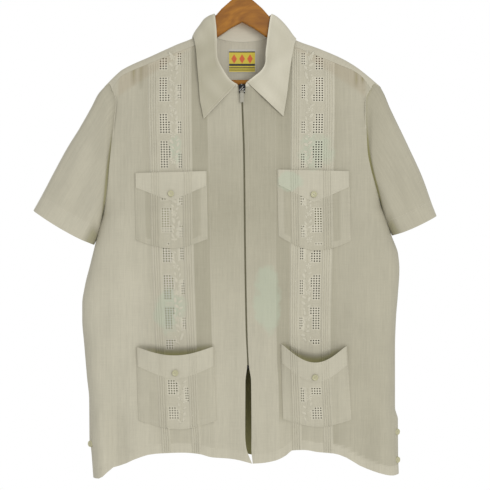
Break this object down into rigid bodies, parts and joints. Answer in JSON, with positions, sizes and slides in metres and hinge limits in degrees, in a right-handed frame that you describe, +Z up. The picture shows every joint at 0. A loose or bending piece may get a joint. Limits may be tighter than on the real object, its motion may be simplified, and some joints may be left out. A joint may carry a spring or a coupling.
{
  "type": "guayabera shirt on a wooden hanger",
  "caption": "Short-sleeved zip-front guayabera shirt with embroidered tuck bands and patch pockets, hanging on a wooden suit hanger.",
  "frame": {"origin": "inner top of the hanger's hook, where a rail carries it", "axes": "+Z up along the hanging shirt, -Y out of its front, +X towards the wearer's left sleeve"},
  "size_m": [0.715, 0.0971, 0.92],
  "materials": {
    "cloth": "fine slubbed plain weave, soft matt",
    "zip_tape": "woven tape",
    "label": "woven satin",
    "button": "pearly polyester",
    "black_metal": "black lacquer",
    "steel": "bright plated",
    "wood": "clear lacquer"
  },
  "bodies": {
    "shirt": {"front_right": "cloth", "front_left": "cloth", "facing_right": "cloth", "facing_left": "cloth", "back": "cloth", "yoke": "cloth", "sleeve_right": "cloth", "sleeve_left": "cloth", "collar_stand": "cloth", "collar_leaf": "cloth", "pocket_upper_right": "cloth", "pocket_upper_left": "cloth", "pocket_lower_right": "cloth", "pocket_lower_left": "cloth", "pocket_band_upper_right": "cloth", "pocket_band_upper_left": "cloth", "pocket_band_lower_right": "cloth", "pocket_band_lower_left": "cloth", "button_upper_right": "button", "button_upper_left": "button", "button_lower_right": "button", "button_lower_left": "button", "button_vent_right": "button", "button_vent_left_upper": "button", "button_vent_left_lower": "button", "label": "label", "zip_tape_right": "zip_tape", "zip_tape_left": "zip_tape", "zip_slider": "black_metal", "zip_box": "black_metal", "hanger_wood": "wood", "hanger_bar": "wood", "hanger_hook": "steel"},
    "zip_pull": {"zip_pull": "steel"}
  },
  "joints": [
    {"name": "pull_swing", "type": "hinge", "parent": "shirt", "child": "zip_pull", "pos_m": [0, -0.0346, -0.237], "axis": [-1, 0, 0], "range_deg": [0, 165]}
  ]
}
